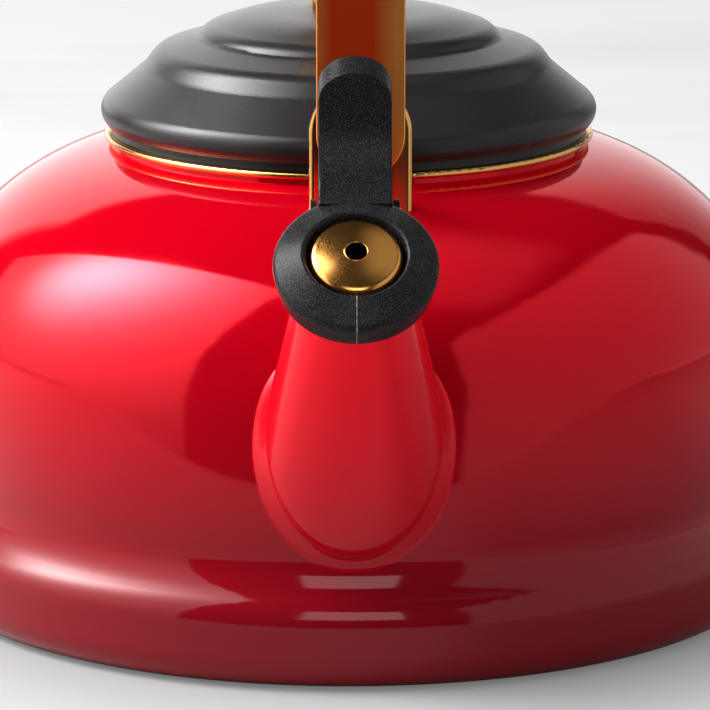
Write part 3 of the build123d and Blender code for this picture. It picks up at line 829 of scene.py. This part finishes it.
def floor_material(stage):
    """Pale stone with faint veins, which the camera sees evened out away from the kettle, with a painted
    shadow next to it.
    """
    material, tree, shader = new_material("pale_table")
    point = object_point(tree)
    veins = noise(tree, point, scale=4.0, detail=6.0, stretch=STONE_VEINS)
    pale = tint(tree, spread(tree, veins, 0.48, 0.66, 0.0, 1.0), stage.floor, shade(stage.floor, 0.94))
    path = add_node(tree, "ShaderNodeLightPath")
    # Glossy rays see a darker table: painted shade.
    mirrored = shade(stage.floor, stage.floor_reflected_shade)
    seen = tint(tree, path.outputs["Is Glossy Ray"], pale, mirrored)
    set_sockets(tree, shader, base_color=seen, roughness=0.6, specular_ior_level=0.1)
    flat = add_node(tree, "ShaderNodeVectorMath", {0: point, 1: (1.0, 1.0, 0.0)}, operation="MULTIPLY")
    away = add_node(tree, "ShaderNodeVectorMath", {0: flat.outputs["Vector"]}, operation="LENGTH")
    # Less glow next to the kettle: a painted shadow.
    level = spread(tree, away.outputs["Value"], stage.shadow_start, stage.shadow_end,
                   stage.shadow_share * stage.floor_glow, stage.floor_glow)
    glow = add_node(tree, "ShaderNodeEmission", {"Color": pale, "Strength": level})
    share = calculate(tree, "MULTIPLY", path.outputs["Is Camera Ray"], stage.floor_lift)
    shaders = {0: share, 1: shader.outputs["BSDF"], 2: glow.outputs["Emission"]}
    mixed = add_node(tree, "ShaderNodeMixShader", shaders)
    tree.links.new(mixed.outputs["Shader"], tree.nodes["Material Output"].inputs["Surface"])
    return material


def set_table(stage):
    """The table, whose front part isn't mirrored in the kettle."""
    material = floor_material(stage)
    edge = -stage.table_edge
    far = 6.0
    panel("table", [(-far, edge, 0), (far, edge, 0), (far, far, 0), (-far, far, 0)], material)
    apron = panel("table_front", [(-far, -far, 0), (far, -far, 0), (far, edge, 0), (-far, edge, 0)], material)
    apron.visible_glossy = False


def set_lights(stage):
    """The key light on the left, a pale wall on the right, a backdrop, a ceiling and a card in front."""
    key_place, key_width, key_height = hung(
        first=(-1.6, 1.3, 1.05), last=(-0.228, -0.369, 1.05), fall=(-0.623, -0.511, -1.4)
    )
    softbox("key_light", key_place, key_width, key_height, stage.key_level,
            glowing(center=(0.67, 0.86), reach=(0.18, 0.214), halo=stage.halo_share))
    softbox("side_wall", facing((1.55, -0.2, 0.45), target=(0.0, 0.0, 0.45)),
            width=4.2, height=3.3, level=stage.wall_level,
            brightness=faded(across=(0.0, 0.04, 0.96, 1.0, 0.0), upward=(0.0, 0.01, 0.94, 1.0, 0.0)))
    softbox("backdrop", facing((-0.1, 2.2, 1.1), target=(-0.1, 0.0, 1.1)),
            width=3.6, height=2.2, level=stage.back_level,
            brightness=faded(across=(0.0, 0.65, 0.9, 1.0, 0.15), upward=(0.0, 0.02, 0.9, 1.0, 0.0)))
    softbox("ceiling", facing((0.9, -0.2, 2.4), target=(0.9, -0.199, 0.0)),
            width=1.8, height=2.6, level=stage.ceiling_level,
            brightness=faded(across=(0.0, 0.3, 0.7, 1.0, 0.0), upward=(0.0, 0.3, 0.7, 1.0, 0.0)))

    half_width, front, low, high = 0.46, -1.9, 0.4, 1.5
    corners = [(-half_width, front, low), (half_width, front, low),
               (half_width, front, high), (-half_width, front, high)]
    only_reflected(panel("front_card", corners, emission_material("front_card", stage.card_level)))


def set_room(scene, stage):
    """Even light from all sides, which is dark in reflections and white behind the table."""
    world = bpy.data.worlds.new("studio")
    scene.world = world
    world.use_nodes = True
    tree = world.node_tree
    tree.nodes.clear()
    path = add_node(tree, "ShaderNodeLightPath")
    unlit = spread(tree, path.outputs["Is Glossy Ray"], 0.0, 1.0, stage.fill_level, stage.room_level)
    level = spread(tree, path.outputs["Is Camera Ray"], 0.0, 1.0, unlit, 1.0)
    light = add_node(tree, "ShaderNodeBackground", {"Color": (*WHITE, 1.0), "Strength": level})
    add_node(tree, "ShaderNodeOutputWorld", {"Surface": light.outputs["Background"]})


def set_camera(scene, stage):
    """The camera in front of the kettle, looking down a little."""
    data = bpy.data.cameras.new("camera")
    data.lens = stage.camera_lens
    data.shift_x = stage.camera_shift
    data.clip_end = 30.0
    camera = bpy.data.objects.new("camera", data)
    scene.collection.objects.link(camera)
    ahead = Vector((math.sin(stage.camera_turn), math.cos(stage.camera_turn), 0))
    spot = -ahead * stage.camera_distance + Vector((0, 0, stage.camera_height))
    look = ahead * math.cos(stage.camera_pitch) - Vector((0, 0, math.sin(stage.camera_pitch)))
    camera.matrix_world = facing(spot, spot + look)
    scene.camera = camera


class KETTLE_OT_stage(bpy.types.Operator):
    """Set up the table, the lights and the camera"""

    bl_idname = "kettle.stage"
    bl_label = "Stage"

    def execute(self, context):
        scene = context.scene
        stage = settings()[3]
        scene.view_settings.view_transform = "Standard"
        set_table(stage)
        set_lights(stage)
        set_room(scene, stage)
        set_camera(scene, stage)
        return {"FINISHED"}


class KETTLE_PT_panel(bpy.types.Panel):
    """The kettle's operators and settings"""

    bl_label = "Whistling Kettle"
    bl_space_type = "VIEW_3D"
    bl_region_type = "UI"
    bl_category = "Kettle"

    def draw(self, context):
        for operator in OPERATORS:
            self.layout.operator(operator.bl_idname)
        for group in settings():
            box = self.layout.box()
            for name in type(group).__annotations__:
                box.prop(group, name)


OPERATORS = (KETTLE_OT_finishes, KETTLE_OT_spout, KETTLE_OT_hole_lip, KETTLE_OT_parting_line, KETTLE_OT_stage)
GROUPS = (FinishSettings, SpoutSettings, WhistleSettings, StageSettings)


def register():
    for item in (*GROUPS, *OPERATORS, KETTLE_PT_panel):
        bpy.utils.register_class(item)
    bpy.types.Scene.kettle_finish = PointerProperty(type=FinishSettings)
    bpy.types.Scene.kettle_spout = PointerProperty(type=SpoutSettings)
    bpy.types.Scene.kettle_whistle = PointerProperty(type=WhistleSettings)
    bpy.types.Scene.kettle_stage = PointerProperty(type=StageSettings)


def unregister():
    del bpy.types.Scene.kettle_stage
    del bpy.types.Scene.kettle_whistle
    del bpy.types.Scene.kettle_spout
    del bpy.types.Scene.kettle_finish
    for item in reversed((*GROUPS, *OPERATORS, KETTLE_PT_panel)):
        bpy.utils.unregister_class(item)


def main():
    register()
    bpy.ops.kettle.finishes()
    bpy.ops.kettle.spout()
    bpy.ops.kettle.hole_lip()
    bpy.ops.kettle.parting_line()
    bpy.ops.kettle.stage()


if __name__ == "__main__":
    main()
